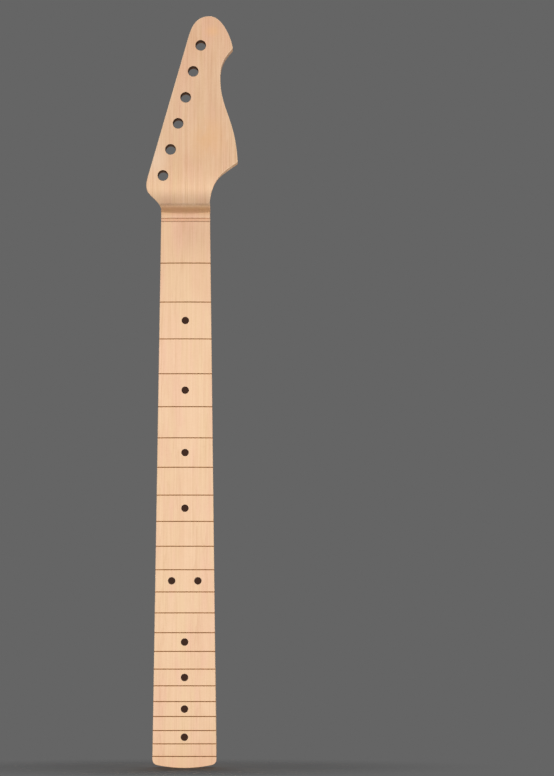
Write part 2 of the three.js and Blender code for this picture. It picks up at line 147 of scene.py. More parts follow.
# How finely curves are divided, and the distances and angles for joining points and faces
outline_steps = (33, 8, 34)  # for a straight line, a softened tip and a curve with two handles
scoop_steps = 200
edge_steps = 5
wall_steps = 2
back_steps = 22
crown_steps = 11
scoop_rows = 14
fold_rings = 60
scoop_rings = 15
shaft_rings = 30
cove_rings = 26
heel_flat_rings = 18
board_end_rings = 16
smallest_heel_step = heel_edge_round / 8
smallest_board_step = board_edge_round / 6
round_sides = 64
small_round_sides = 32
side_dot_sides = 40
inlay_face_shares = (0, 0.35, 0.65, 0.88)
inlay_rim_points = 4
outline_probe = 0.05
spacing_power = 2.2
crown_spacing_power = 1.8
crest_points = 41
point_merge = 0.0005
nut_point_merge = 0.002
flat_facing = 0.999999
flat_angle = 0.05
crease_angle = 35


def fret_station(fret):
    return scale_length - scale_length / 2 ** (fret / octave_fret)


board_end = fret_station(fret_count) + board_past_last_fret
heel_end = board_end - board_overhang
screw_station = heel_end - heel_screw_from_end
heel_flat_start = heel_end - heel_flat_length
cove_start = heel_flat_start - heel_cove_length
head_back_depth = head_drop + head_thickness
blend_end = fold_blend_length - fold_apex_from_nut
truss_axis_depth = board_thickness + channel_fit + truss_bar_thickness + truss_block_height / 2
truss_nut_end = heel_end - truss_nut_recess
truss_nut_start = truss_nut_end - truss_nut_length
half_nut = nut_width / 2
side_dot_depth = side_dot_depth_share * board_thickness


def to_world(across, station, depth):
    """A place inside the neck as a point of the part's frame, in metres."""
    return Vector((across * MM, (depth - heel_thickness) * MM, (screw_station - station) * MM))


def half_width(station):
    widening = (board_end_width - nut_width) / board_end
    return (nut_width + widening * max(station, 0)) / 2


def shaft_depth(station):
    first = fret_station(1)
    slope = (thickness_at_octave - thickness_at_first_fret) / (fret_station(octave_fret) - first)
    return thickness_at_first_fret + slope * (station - first)


def clamp(share):
    return max(0.0, min(1.0, share))


apex_slope = 2 * (head_back_depth - shaft_depth(-fold_apex_from_nut)) / fold_blend_length


# Meshes

def clean(mesh, merge):
    """Joins points that are nearer than this many millimetres, and turns the faces outwards."""
    work = bmesh.new()
    work.from_mesh(mesh)
    bmesh.ops.remove_doubles(work, verts=work.verts, dist=merge * MM)
    bmesh.ops.dissolve_degenerate(work, edges=work.edges, dist=merge * MM / 2)
    bmesh.ops.recalc_face_normals(work, faces=work.faces)
    work.to_mesh(mesh)
    work.free()


class Builder:
    """Collects points inside the neck and faces between them, and makes one mesh of them."""

    def __init__(self):
        self.points = []
        self.faces = []

    def add(self, places):
        """Adds a row of points, and gives back their numbers."""
        first = len(self.points)
        self.points.extend(places)
        return list(range(first, len(self.points)))

    def cap(self, row):
        self.faces.append(tuple(row))

    def skin(self, rows, closed=False):
        """Quads between rows of points of the same length. Closed rows are rings."""
        for a, b in zip(rows, rows[1:]):
            for i in range(len(a) if closed else len(a) - 1):
                j = (i + 1) % len(a)
                self.cap((a[i], a[j], b[j], b[i]))

    def build(self, name):
        mesh = bpy.data.meshes.new(name)
        mesh.from_pydata([to_world(*p) for p in self.points], [], self.faces)
        clean(mesh, point_merge)
        obj = bpy.data.objects.new(name, mesh)
        bpy.context.scene.collection.objects.link(obj)
        return obj


def baked(obj):
    """Applies the modifiers of an object."""
    graph = bpy.context.evaluated_depsgraph_get()
    mesh = bpy.data.meshes.new_from_object(obj.evaluated_get(graph))
    obj.modifiers.clear()
    obj.data = mesh
    return obj


def cut(obj, cutter):
    """Takes a cutter out of an object, and removes the cutter."""
    modifier = obj.modifiers.new("cut", "BOOLEAN")
    modifier.operation = "DIFFERENCE"
    modifier.solver = "MANIFOLD"
    modifier.object = cutter
    baked(obj)
    bpy.data.objects.remove(cutter)


def soften(obj):
    """Joins the pieces of each flat face, then smooths the shading, with flats kept flat."""
    work = bmesh.new()
    work.from_mesh(obj.data)
    flat = {f for f in work.faces if abs(f.normal.y) > flat_facing}
    inner = [e for e in work.edges
             if len(e.link_faces) == 2 and all(f in flat for f in e.link_faces)]
    ends = dict.fromkeys(v for e in inner for v in e.verts)
    bmesh.ops.dissolve_limit(work, angle_limit=math.radians(flat_angle),
                             use_dissolve_boundaries=False, verts=list(ends), edges=inner)
    work.to_mesh(obj.data)
    work.free()
    obj.data.shade_smooth()
    obj.data.set_sharp_from_angle(angle=math.radians(crease_angle))
    weighted = obj.modifiers.new("weighted", "WEIGHTED_NORMAL")
    weighted.mode = "FACE_AREA"
    weighted.weight = 100
    weighted.keep_sharp = True
    return baked(obj)


def turned(name, profile, place_at, sides=round_sides):
    """A solid turned from (radius, height) pairs, where place_at(u, v, height) gives its places."""
    build = Builder()
    angles = [2 * math.pi * i / sides for i in range(sides)]
    rows = [build.add([place_at(r * math.cos(a), r * math.sin(a), height) for a in angles])
            for r, height in profile]
    build.skin(rows, closed=True)
    build.cap(rows[0])
    build.cap(rows[-1])
    return build.build(name)


def drill(profile, across, station, sides=round_sides):
    """A round cutter through the depth of the neck, from (radius, depth) pairs."""
    return turned("drill", profile, lambda u, v, depth: (across + u, station + v, depth), sides)


def sanded(points):
    """Shares of a sanded edge's radius round it, from (1, 0) on the face to (0, 1) on the side."""
    return [(1 - math.sin(a), 1 - math.cos(a)) for a in np.linspace(0, math.pi / 2, points)]


def rim_profile(radius, face_depth, rim_round, into):
    """A bore that opens out round its rim on one face. into is +1 where the bore goes deeper."""
    return [(radius + rim_round, face_depth - into * cutter_overrun)] + [
        (radius + rim_round * out, face_depth + into * rim_round * down)
        for out, down in sanded(edge_steps + 1)]


# Outline of the headstock: the points where its curves meet and their handles, as (across,
# distance above the nut), given as shares of its reach to the treble side and of its length

def head_point(across_share, length_share):
    return np.array([across_share * head_reach, length_share * head_length])


def beside_nut(side, length_share):
    return np.array([side * half_nut, length_share * head_length])


bass_root = beside_nut(-1, 0.06)
bass_root_handle = beside_nut(-1, 0.077)
bass_flare_handle = head_point(-0.533, 0.098)
bass_flare = head_point(-0.618, 0.118)
bass_corner_handle = head_point(-0.718, 0.145)
bass_corner = head_point(-0.737, 0.225)
straight_edge_top = head_point(-0.002, 0.862)
straight_edge_handle_share = 0.072
crown_handle = head_point(0.133, 1)
crown = head_point(0.46, 1)
crown_treble_handle = head_point(0.679, 1)
beak_handle = head_point(0.859, 0.907)
beak = head_point(0.904, 0.843)
beak_under_handle = head_point(0.721, 0.795)
waist_upper_handle = head_point(0.662, 0.7605)
waist = head_point(0.662, 0.699)
waist_lower_handle = head_point(0.662, 0.552)
horn_handle = head_point(0.952, 0.507)
horn = head_point(1, 0.295)
horn_under_handle = head_point(0.6625, 0.24)
treble_root_handle = beside_nut(1, 0.198)
treble_root = beside_nut(1, 0.08)

straight_edge_direction = straight_edge_top - bass_corner
straight_edge_direction /= np.linalg.norm(straight_edge_direction)
straight_edge_handle = straight_edge_direction * straight_edge_handle_share * head_length


def curve(*controls, steps):
    """Points along a Bezier curve, without its first."""
    t = np.linspace(0, 1, steps + 1)[1:, None]
    last = len(controls) - 1
    return list(sum(math.comb(last, i) * (1 - t) ** (last - i) * t ** i * np.asarray(point, float)
                    for i, point in enumerate(controls)))


def beside_tip(tip, handle):
    away = handle - tip
    return tip + away / np.linalg.norm(away) * tip_softening


def head_outline():
    """The outline from the bass side of the nut round the tip to the treble side."""
    points = [beside_nut(-1, 0), bass_root]
    for controls in (
        (bass_root_handle, bass_flare_handle, bass_flare),
        (bass_corner_handle, bass_corner - straight_edge_handle, bass_corner),
        (straight_edge_top,),
        (straight_edge_top + straight_edge_handle, crown_handle, crown),
        (crown_treble_handle, beak_handle, beside_tip(beak, beak_handle)),
        (beak, beside_tip(beak, beak_under_handle)),
        (beak_under_handle, waist_upper_handle, waist),
        (waist_lower_handle, horn_handle, beside_tip(horn, horn_handle)),
        (horn, beside_tip(horn, horn_under_handle)),
        (horn_under_handle, treble_root_handle, treble_root),
    ):
        points += curve(points[-1], *controls, steps=outline_steps[len(controls) - 1])
    return np.array(points + [beside_nut(1, 0)])


outline = head_outline()
tip_index = int(outline[:, 1].argmax())
side_outlines = {-1: outline[:tip_index + 1], 1: outline[tip_index:][::-1]}


def edge_at(side, station):
    """Where one side of the neck is, and how fast it moves across along the neck."""
    if station >= 0:
        return side * half_width(station), 0.0
    line = side_outlines[side]
    above = [-station, -station - outline_probe, -station + outline_probe]
    here, before, after = np.interp(above, line[:, 1], line[:, 0])
    return here, (after - before) / (2 * outline_probe)


def tuner_places():
    inward = np.array([straight_edge_direction[1], -straight_edge_direction[0]])
    return [
        bass_corner
        + straight_edge_direction * (first_tuner_past_corner + i * tuner_pitch)
        + inward * tuner_edge_distance
        for i in range(tuner_count)
    ]


# Scoop behind the nut: an ogee from the shelf down to the headstock's face

scoop_lip = (scoop_lip_from_nut, 0)
scoop_curve = np.array([np.array(scoop_lip, float)] + curve(
    scoop_lip,
    (scoop_lip_from_nut + scoop_lip_handle, 0),
    (scoop_foot_from_nut - scoop_foot_handle, head_drop),
    (scoop_foot_from_nut, head_drop),
    steps=scoop_steps,
))


def front_depth(station):
    """Depth of the front of the shaft under the board, of the scoop, and of the headstock."""
    return max(float(np.interp(-station, scoop_curve[:, 0], scoop_curve[:, 1])), board_thickness)


def scoop_station(depth):
    return -float(np.interp(depth, scoop_curve[:, 1], scoop_curve[:, 0]))


scoop_edge_station = scoop_station(board_thickness)


# Back of the neck

spaced_shares = [(i / back_steps) ** spacing_power for i in range(back_steps + 1)]


def eased(distance, radius):
    """How far an edge with a rounded corner falls back from the face, this far from the edge."""
    if distance >= radius:
        return 0.0
    return radius - math.sqrt(max(radius ** 2 - (radius - distance) ** 2, 0))


def front_edge(start_inset, start, front_round, spread, wall_end):
    """(inset, depth) pairs round the front edge of the neck and down its side wall."""
    rounding = [(start_inset + front_round * spread * out, start - front_round * (1 - down))
                for out, down in sanded(edge_steps + 1)]
    wall = [start + (wall_end - start) * (i + 1) / (wall_steps + 1) for i in range(wall_steps)]
    return rounding + [(start_inset, depth) for depth in wall]


def section_side(station, side, crown_across, wall, back_depth, flat, clipped):
    """One side of a section, from the front face round the edge and over the back, as places."""
    outer, drift = edge_at(side, station)
    width = abs(outer - crown_across)
    spread = math.sqrt(1 + drift ** 2)
    power = shaft_profile_power
    front_round = head_edge_round * clamp(
        (scoop_edge_station - station) / (scoop_edge_station + scoop_foot_from_nut))

    def inset_at(depth):
        rise = clamp((depth - wall) / (back_depth - wall))
        return width * (1 - (1 - rise ** power) ** (1 / power))

    def depth_at(inset):
        run = clamp((width - inset) / width)
        return wall + (back_depth - wall) * (1 - run ** power) ** (1 / power)

    start = front_depth(station) + front_round
    start_inset = inset_at(start)
    if clipped:
        wall_end = max(min(wall, flat - head_edge_round), start)
        last = max(inset_at(flat), head_edge_round * spread)
    else:
        wall_end = max(wall, start)
        last = width
    pairs = front_edge(start_inset, start, front_round, spread, wall_end)
    for share in spaced_shares:
        inset = start_inset + (last - start_inset) * share
        depth = min(depth_at(inset), flat)
        if clipped:
            depth = min(depth, flat - eased(inset / spread, head_edge_round))
        pairs.append((inset, max(depth, start)))
    return [(outer - side * inset, station, depth) for inset, depth in pairs]


def fold_side(station, side):
    """Behind the nut the rounded back sinks below the headstock's flat and is cut off by it."""
    reach, added_slope = {
        1: (fold_reach_treble, fold_added_slope_treble),
        -1: (fold_reach_bass, fold_added_slope_bass),
    }[side]
    past_apex = -station - fold_apex_from_nut
    progress = clamp(past_apex / (reach - fold_apex_from_nut))
    wall = board_thickness + (head_back_depth - board_thickness) * progress ** fold_wall_power
    back_depth = head_back_depth + (apex_slope + added_slope * progress) * past_apex
    return section_side(station, side, -fold_apex_to_bass, wall, back_depth, head_back_depth, True)


def fold_crest(across):
    """Station of the crest, where the headstock's flat cuts off the rounded back."""
    places = []
    for station in np.linspace(-fold_apex_from_nut, -fold_reach_treble, fold_rings):
        for side in (-1, 1):
            if side > 0 or -station < fold_reach_bass:
                edge = fold_side(station, side)[-1]
                places.append((edge[0], station))
    return np.interp(across, *zip(*sorted(places)))


def shaft_side(station, side):
    """Past the fold's apex the back eases down to the shaft's taper, its crown to the middle."""
    progress = clamp((station + fold_apex_from_nut) / fold_blend_length)
    back = shaft_depth(station) + (head_back_depth - shaft_depth(station)) * (1 - progress) ** 2
    crown_across = -fold_apex_to_bass * (1 - progress ** 2 * (3 - 2 * progress))
    return section_side(station, side, crown_across, board_thickness, back, back, False)


# Rounded end of the heel or of the board

class RoundEnd:
    """The end of the heel or board seen from the front: soft corners and a shallow arc."""

    def __init__(self, end):
        self.side = half_width(end)
        self.corner_across = self.side - end_corner_radius
        self.arc_centre = end - end_arc_radius
        between = end_arc_radius - end_corner_radius
        self.turn = math.asin(self.corner_across / between)
        self.corner_station = self.arc_centre + between * math.cos(self.turn)
        self.tangent = end_arc_radius * math.sin(self.turn)

    def station(self, across):
        across = abs(across)
        if across <= self.tangent:
            return self.arc_centre + math.sqrt(end_arc_radius ** 2 - across ** 2)
        past = min(across - self.corner_across, end_corner_radius)
        return self.corner_station + math.sqrt(end_corner_radius ** 2 - past ** 2)

    def distance(self, across, station):
        """How far inside the outline a point lies."""
        across = abs(across)
        past = Vector((across - self.corner_across, station - self.corner_station))
        if past.x > 0 and past.y > 0 and math.atan2(past.x, past.y) > self.turn:
            return max(end_corner_radius - past.length, 0)
        arc = end_arc_radius - math.hypot(across, station - self.arc_centre)
        return max(min(half_width(station) - across, arc), 0)

    def place(self, start, along_share, share):
        """A share of the way from a start to the end: across, station and distance inside."""
        station = start + (self.station(share * self.side) - start) * along_share
        across = share * half_width(station)
        return across, station, 0 if along_share == 1 else self.distance(across, station)


def shoulder_station(share):
    """Where the heel's flat starts: straight across, turned back round a corner at each side."""
    side = half_width(heel_flat_start)
    into_corner = max(share * side - (side - heel_shoulder_radius), 0)
    turn = math.asin(min(into_corner / heel_shoulder_radius, 1))
    return heel_flat_start + heel_shoulder_radius * (1 - math.cos(turn))


def heel_ring_side(side, place_at):
    """One side of a ring on the heel. place_at gives the station and depth at a share across."""
    def place(share):
        station, depth = place_at(share)
        return side * share * half_width(station), station, depth

    across, station, _ = place(1)
    return [(across, station, board_thickness)] * (edge_steps + 1 + wall_steps) + [
        place(1 - share) for share in spaced_shares]


def cove_place(angle, share):
    power = shaft_profile_power
    station = shoulder_station(share) - heel_cove_length * (1 - math.sin(angle))
    round_depth = (1 - share ** power) ** (1 / power)
    depth = board_thickness + (shaft_depth(station) - board_thickness) * round_depth
    lifted = heel_thickness + (depth - heel_thickness) * math.cos(angle)
    from_edge = (1 - share) * half_width(station)
    return station, min(lifted, heel_thickness - eased(from_edge, heel_edge_round))


def flat_place(along_share, end, share):
    """On the heel's flat, a share of the way from its shoulder to its rounded end."""
    _, station, distance = end.place(shoulder_station(share), along_share, share)
    return station, heel_thickness - eased(distance, heel_edge_round)


def shares_to_end(length, smallest, steps):
    """Shares of a length, close together near its end, the last of them 1."""
    ratio = (length / smallest) ** (1 / (steps - 1))
    return [1 - smallest * ratio ** (steps - 1 - i) / length for i in range(1, steps)] + [1.0]


def neck_rings():
    """Rings of places from the start of the fold to the end of the heel, front to back to front."""
    rings = []

    def ring(side_at):
        rings.append(side_at(1) + side_at(-1)[::-1])

    apex = -fold_apex_from_nut
    shares = np.linspace(0, 1, fold_rings) ** spacing_power
    for station in sorted({
        *(apex - (fold_reach_treble - fold_apex_from_nut) * shares),
        *np.linspace(-scoop_foot_from_nut, scoop_edge_station, scoop_rings),
        *np.linspace(apex, blend_end, shaft_rings),
        *np.linspace(blend_end, cove_start - heel_shoulder_radius, shaft_rings),
    }):
        section = fold_side if station <= apex else shaft_side
        ring(lambda side: section(station, side))
    for angle in np.linspace(0, math.pi / 2, cove_rings):
        ring(lambda side: heel_ring_side(side, lambda share: cove_place(angle, share)))
    end = RoundEnd(heel_end)
    for along in shares_to_end(heel_flat_length, smallest_heel_step, heel_flat_rings):
        ring(lambda side: heel_ring_side(side, lambda share: flat_place(along, end, share)))
    return rings


def neck_blank():
    """The whole shaft with headstock and heel, before any hole is made."""
    build = Builder()
    rings = [build.add(ring) for ring in neck_rings()]
    build.skin(rings, closed=True)
    side_count = len(rings[0]) // 2

    # End of the heel: its wall under each point of the last ring
    beside_back = edge_steps + 1 + wall_steps
    back = rings[-1][beside_back:-beside_back]
    front = build.add([(*build.points[i][:2], board_thickness) for i in back])
    build.skin([back, front])
    build.cap(front)

    # Headstock: columns round the outline, from the front face over the edge to the back face
    column_pairs = head_column()
    columns = [rings[0][side_count:][::-1]]
    for point, inward in zip(outline, inward_normals(outline)):
        if point[1] > fold_reach_treble + head_edge_round:
            columns.append(build.add([
                (point[0] + inward[0] * inset, -(point[1] + inward[1] * inset), depth)
                for inset, depth in column_pairs
            ]))
    columns.append(rings[0][:side_count])
    build.skin(columns)
    for face in (0, -1):
        build.cap(column[face] for column in columns)
    return build.build("neck_blank")


def inward_normals(points):
    along = np.gradient(points, axis=0)
    along /= np.linalg.norm(along, axis=1)[:, None]
    return np.stack([along[:, 1], -along[:, 0]], axis=1)


def head_column():
    """(inset, depth) pairs over the edge of the headstock, from its face to its back."""
    pairs = front_edge(0, head_drop + head_edge_round, head_edge_round, 1,
                       head_back_depth - head_edge_round)
    insets = [head_edge_round * share for share in spaced_shares]
    return pairs + [(inset, head_back_depth - eased(inset, head_edge_round)) for inset in insets]


def box_cutter(name, half, start, end, front, back):
    build = Builder()
    rows = [build.add([(-half, s, front), (half, s, front), (half, s, back), (-half, s, back)])
            for s in (start, end)]
    build.skin(rows, closed=True)
    for row in rows:
        build.cap(row)
    return build.build(name)


def cut_neck_holes(neck):
    radius = tuner_hole_diameter / 2
    through = rim_profile(radius, head_drop, hole_rim_round, 1)
    through += rim_profile(radius, head_back_depth, hole_rim_round, -1)[::-1]
    for place in tuner_places():
        cut(neck, drill(through, place[0], -place[1]))
    pilot = rim_profile(pilot_diameter / 2, heel_thickness, pilot_rim_round, -1)
    bottom = heel_thickness - pilot_depth
    pilot += [(pilot_diameter / 2, bottom), (pilot_tip_radius, bottom - pilot_tip_length)]
    for side in (-1, 1):
        for end in (-1, 1):
            across = side * heel_screw_across / 2
            station = screw_station + end * heel_screw_along / 2
            cut(neck, drill(pilot, across, station, small_round_sides))


def on_truss_axis(u, v, station):
    return u, station, truss_axis_depth + v


def cut_truss_channel(neck):
    half = truss_bar_width / 2 + channel_fit
    floor = truss_axis_depth + truss_block_height / 2 + channel_fit
    start = truss_from_nut - channel_fit
    past_heel = heel_end + cutter_overrun
    front = board_thickness - cutter_overrun
    cut(neck, box_cutter("channel_cutter", half, start, past_heel, front, floor))
    radius = truss_nut_diameter / 2 + truss_nut_gap
    bore = [(radius, truss_nut_start - truss_end_gap), (radius, past_heel)]
    cut(neck, turned("bore", bore, on_truss_axis))


def make_truss_nut():
    """The adjusting nut: a seat for the rod at its front and a hexagon socket behind."""
    outer = truss_nut_diameter / 2
    seat = truss_rod_diameter / 2 + running_fit
    seat_end = truss_nut_start + truss_seat_depth
    chamfer = truss_nut_chamfer
    nut = turned("truss_nut", [
        (0, seat_end),
        (seat, seat_end),
        (seat, truss_nut_start),
        (outer - chamfer, truss_nut_start),
        (outer, truss_nut_start + chamfer),
        (outer, truss_nut_end - chamfer),
        (outer - chamfer, truss_nut_end),
        (0, truss_nut_end),
    ], on_truss_axis)
    corner = truss_key_size / 2 / math.cos(math.pi / 6)
    socket = [(corner, truss_nut_end - truss_key_depth), (corner, truss_nut_end + cutter_overrun)]
    cut(nut, turned("socket", socket, lambda u, v, station: on_truss_axis(v, u, station), sides=6))
    mouth = [(corner + side * truss_key_chamfer, truss_nut_end + side * truss_key_chamfer)
             for side in (-1, 1)]
    cut(nut, turned("mouth", mouth, on_truss_axis))
    clean(nut.data, nut_point_merge)
    return soften(nut)


def make_neck():
    neck = neck_blank()
    cut_neck_holes(neck)
    cut_truss_channel(neck)
    return soften(neck)


# Fretboard

def crown_depth(across, station):
    along = max(station, 0) / board_end
    radius = board_radius_at_nut + (board_radius_at_end - board_radius_at_nut) * along
    return radius - math.sqrt(radius ** 2 - across ** 2)


crown_shares = [1 - (i / crown_steps) ** crown_spacing_power for i in range(crown_steps + 1)]
crown_shares += [-share for share in crown_shares[:-1][::-1]]
board_side_depths = (board_thickness, nut_slot_depth, fret_slot_depth)


def board_ring(place_at, floor=0):
    """A ring over the board: up the treble side, across the crown and down the bass side."""
    def place(share, depth=None):
        across, station, top = place_at(share)
        return across, station, max(top if depth is None else depth, floor)

    treble, bass = ([place(side, depth) for depth in board_side_depths] for side in (1, -1))
    return treble + [place(share) for share in crown_shares] + bass[::-1]


def on_crown(across, station, from_edge):
    return across, station, crown_depth(across, station) + eased(from_edge, board_edge_round)


def board_place(station, share):
    across = share * half_width(station)
    return on_crown(across, station, half_width(station) - abs(across))


def board_start_place(row_share, share):
    """On a row down the scooped front end of the board."""
    across, _, top = board_place(0, share)
    depth = top + (board_thickness - top) * row_share
    return across, scoop_station(depth), depth


def board_blank():
    """The board with its slots, before the pockets for the dots are made."""
    build = Builder()
    rings = []

    def ring(place_at, floor=0):
        rings.append(build.add(board_ring(place_at, floor)))

    ring(lambda share: board_start_place(0, share))
    slots = [(-nut_slot_width, 0, nut_slot_depth)]
    for fret in range(1, fret_count + 1):
        middle = fret_station(fret)
        slots.append((middle - fret_slot_width / 2, middle + fret_slot_width / 2, fret_slot_depth))
    for start, end, floor in slots:
        for station, bottom in ((start, 0), (start, floor), (end, floor), (end, 0)):
            ring(lambda share: board_place(station, share), bottom)
    last = slots[-1][1]
    end = RoundEnd(board_end)
    for along in shares_to_end(board_end - last, smallest_board_step, board_end_rings):
        ring(lambda share: on_crown(*end.place(last, along, share)))
    build.skin(rings)

    # Wall round the end, under the last ring of the crown
    down = len(board_side_depths)
    end_rows = [rings[-1][down:-down]]
    for depth in board_side_depths[::-1]:
        end_rows.append(build.add([(*build.points[i][:2], depth) for i in end_rows[0]]))
    build.skin(end_rows)

    # Scooped wall at the front, from the crown down to the headstock
    front_rows = [rings[0][down:-down]]
    for i in range(1, scoop_rows + 1):
        row_share = (i / scoop_rows) ** 2
        front_rows.append(build.add([board_start_place(row_share, s) for s in crown_shares]))
    build.skin(front_rows)
    build.cap(rings[0][:down] + [row[0] for row in front_rows])
    build.cap(rings[0][:-down - 1:-1] + [row[-1] for row in front_rows])

    treble, bass = ([ring[side] for ring in rings] for side in (0, -1))
    build.cap(front_rows[-1] + bass + end_rows[-1][::-1] + treble[::-1])
    return build.build("board_blank")


def make_board():
    board = board_blank()
    face_radius = dot_diameter / 2 + dot_fit
    side_radius = side_dot_diameter / 2 + dot_fit
    for _, across, station, beside in dot_places():
        face_pocket = [(face_radius, -cutter_overrun), (face_radius, dot_thickness)]
        cut(board, drill(face_pocket, across, station))
        edge = -half_width(beside)
        side_pocket = [(side_radius, edge - cutter_overrun), (side_radius, edge + side_dot_length)]
        cut(board, turned("pocket", side_pocket,
                          lambda u, v, x: (x, beside + u, side_dot_depth + v), small_round_sides))
    return soften(board)


# Position dots

def dot_places():
    """Label, across and station of each dot, and the station of the side dot that goes with it."""
    places = []
    for fret in dot_frets:
        station = (fret_station(fret - 1) + fret_station(fret)) / 2
        if fret != octave_fret:
            places.append((f"{fret:02d}", 0, station, station))
            continue
        for side, name in ((-1, "bass"), (1, "treble")):
            places.append((f"{fret:02d}_{name}", side * octave_dot_spacing / 2, station,
                           station + side * octave_side_dot_spacing / 2))
    return places


def inlay_profile(radius, length):
    """(radius, share of the length) pairs over the face of an inlay, round its rim to its end."""
    face = [(radius * share, 0) for share in inlay_face_shares]
    rim = [(radius - dot_rim_round * out, dot_rim_round * down / length)
           for out, down in sanded(inlay_rim_points)]
    return face + rim + [(radius, 1)]


def face_dot(name, across, station):
    def place_at(u, v, share):
        top = crown_depth(across + u, station + v)
        return across + u, station + v, top + (dot_thickness - top) * share

    return turned(name, inlay_profile(dot_diameter / 2, dot_thickness), place_at)


def side_dot(name, station):
    end = side_dot_length - half_width(station)

    def place_at(u, v, share):
        edge = -half_width(station + u)
        return edge + (end - edge) * share, station + u, side_dot_depth + v

    profile = inlay_profile(side_dot_diameter / 2, side_dot_length)
    return turned(name, profile, place_at, side_dot_sides)


# Materials

class Value:
    """A number, colour or shader made by a node. Arithmetic with it adds maths nodes."""

    def __init__(self, shader, socket):
        self.shader = shader
        self.socket = socket

    def __add__(self, other):
        return self.shader.math("ADD", self, other)

    def __sub__(self, other):
        return self.shader.math("SUBTRACT", self, other)

    def __rsub__(self, other):
        return self.shader.math("SUBTRACT", other, self)

    def __mul__(self, other):
        return self.shader.math("MULTIPLY", self, other)

    def __truediv__(self, other):
        return self.shader.math("DIVIDE", self, other)

    def __pow__(self, other):
        return self.shader.math("POWER", self, other)

    def __abs__(self):
        return self.shader.math("ABSOLUTE", self)

    def step(self, low, high):
        """0 before low, 1 past high, smooth between."""
        sockets = {"Value": self, "From Min": low, "From Max": high}
        return self.shader.node("MapRange", "Result", sockets, interpolation_type="SMOOTHSTEP")

    def nearest(self, first, last):
        """The nearest whole number from a first to a last."""
        whole = self.shader.math("MAXIMUM", self.shader.math("ROUND", self), first)
        return self.shader.math("MINIMUM", whole, last)


def length(first, second):
    return (first * first + second * second) ** 0.5


def within(*ranges):
    """1 where each value is past its own range, from none to full."""
    share = ranges[0][0].step(*ranges[0][1:])
    for value, none, full in ranges[1:]:
        share = share * value.step(none, full)
    return share


class Shader:
    """A procedural material. Its functions add nodes and give back the values that they make.
    Places in it are in millimetres, in the part's frame (x, y, z) or inside the neck."""

    def __init__(self, name, colour, metallic=0.0, specular=0.5):
        self.material = bpy.data.materials.new(name)
        self.material.use_nodes = True
        self.tree = self.material.node_tree
        self.surface = self.tree.nodes["Principled BSDF"]
        self.surface.inputs["Metallic"].default_value = metallic
        self.surface.inputs["Specular IOR Level"].default_value = specular
        self.place = self.node("TexCoord", "Object")
        self.x, self.y, self.z = (axis / MM for axis in self.split(self.place))
        self.station = screw_station - self.z
        self.depth = self.y + heel_thickness
        self.colour = colour
        self.noise_count = 0

    def node(self, kind, output, inputs=None, **settings):
        """Adds a node, and gives back one of its outputs."""
        node = self.tree.nodes.new("ShaderNode" + kind)
        for key, value in settings.items():
            setattr(node, key, value)
        for key, value in (inputs or {}).items():
            self.feed(node.inputs[key], value)
        return Value(self, node.outputs[output])

    def feed(self, socket, value):
        if isinstance(value, Value):
            self.tree.links.new(value.socket, socket)
        else:
            socket.default_value = (*value, 1) if socket.type == "RGBA" else value

    def math(self, operation, *values):
        return self.node("Math", 0, dict(enumerate(values)), operation=operation)

    def split(self, vector):
        x = self.node("SeparateXYZ", 0, {"Vector": vector})
        return [Value(self, socket) for socket in x.socket.node.outputs]

    def facing(self):
        """How squarely the surface faces along X, Y and Z."""
        return [abs(axis) for axis in self.split(self.node("TexCoord", "Normal"))]

    def ramp(self, value, *stops):
        """A run through (position, level) pairs. The first two are its ends."""
        level_at = self.node("ValToRGB", "Color", {"Fac": value})
        elements = level_at.socket.node.color_ramp.elements
        for index, (position, level) in enumerate(stops):
            element = elements[index] if index < 2 else elements.new(position)
            element.position = position
            element.color = (level, level, level, 1)
        return level_at

    def noise(self, sizes, detail, roughness):
        """Noise whose features are about this many millimetres in X, Y and Z."""
        self.noise_count += 1
        scaled = self.node("Mapping", "Vector", {
            "Vector": self.place,
            "Location": (7.3 * self.noise_count, 3.1 * self.noise_count, 5.7 * self.noise_count),
            "Scale": tuple(1 / (size * MM) for size in sizes),
        })
        return self.node("TexNoise", "Fac", {
            "Vector": scaled, "Scale": 1.0, "Detail": detail, "Roughness": roughness,
        })

    def near(self, place, radii):
        """1 at a place inside the neck, falling to 0 at the radii."""
        scale = [1 / (r * MM) for r in radii]
        local = self.node("Mapping", "Vector", {
            "Vector": self.place,
            "Location": tuple(-c * k for c, k in zip(to_world(*place), scale)),
            "Scale": tuple(scale),
        })
        return self.node("VectorMath", "Value", {0: local}, operation="LENGTH").step(1.0, 0.0)

    def paint(self, share, colour, blend="MIX"):
        """Lays a colour over what is there, as far as the share says."""
        mixed = self.node("Mix", 0, {"Factor": share}, data_type="RGBA", blend_type=blend)
        node = mixed.socket.node
        inputs, outputs = ([socket for socket in sockets if socket.type == "RGBA"]
                           for sockets in (node.inputs, node.outputs))
        for socket, value in zip(inputs, (self.colour, colour)):
            self.feed(socket, value)
        self.colour = Value(self, outputs[0])

    def tone(self, share, tone):
        """Multiplies the colour by a tone, as far as the share says."""
        self.paint(share, tone, "MULTIPLY")

    def bump(self, height, distance, strength):
        """Raises the surface by a share of a distance."""
        sockets = {"Height": height, "Distance": distance * MM, "Strength": strength}
        self.feed(self.surface.inputs["Normal"], self.node("Bump", "Normal", sockets))

    def finish(self, roughness):
        self.feed(self.surface.inputs["Base Color"], self.colour)
        self.feed(self.surface.inputs["Roughness"], roughness)
        return self.material


late_wood = (0.55, 0.27, 0.13)
hair_brown = (0.5, 0.24, 0.12)
fleck_brown = (0.45, 0.25, 0.13)
end_grain_brown = (0.62, 0.31, 0.11)


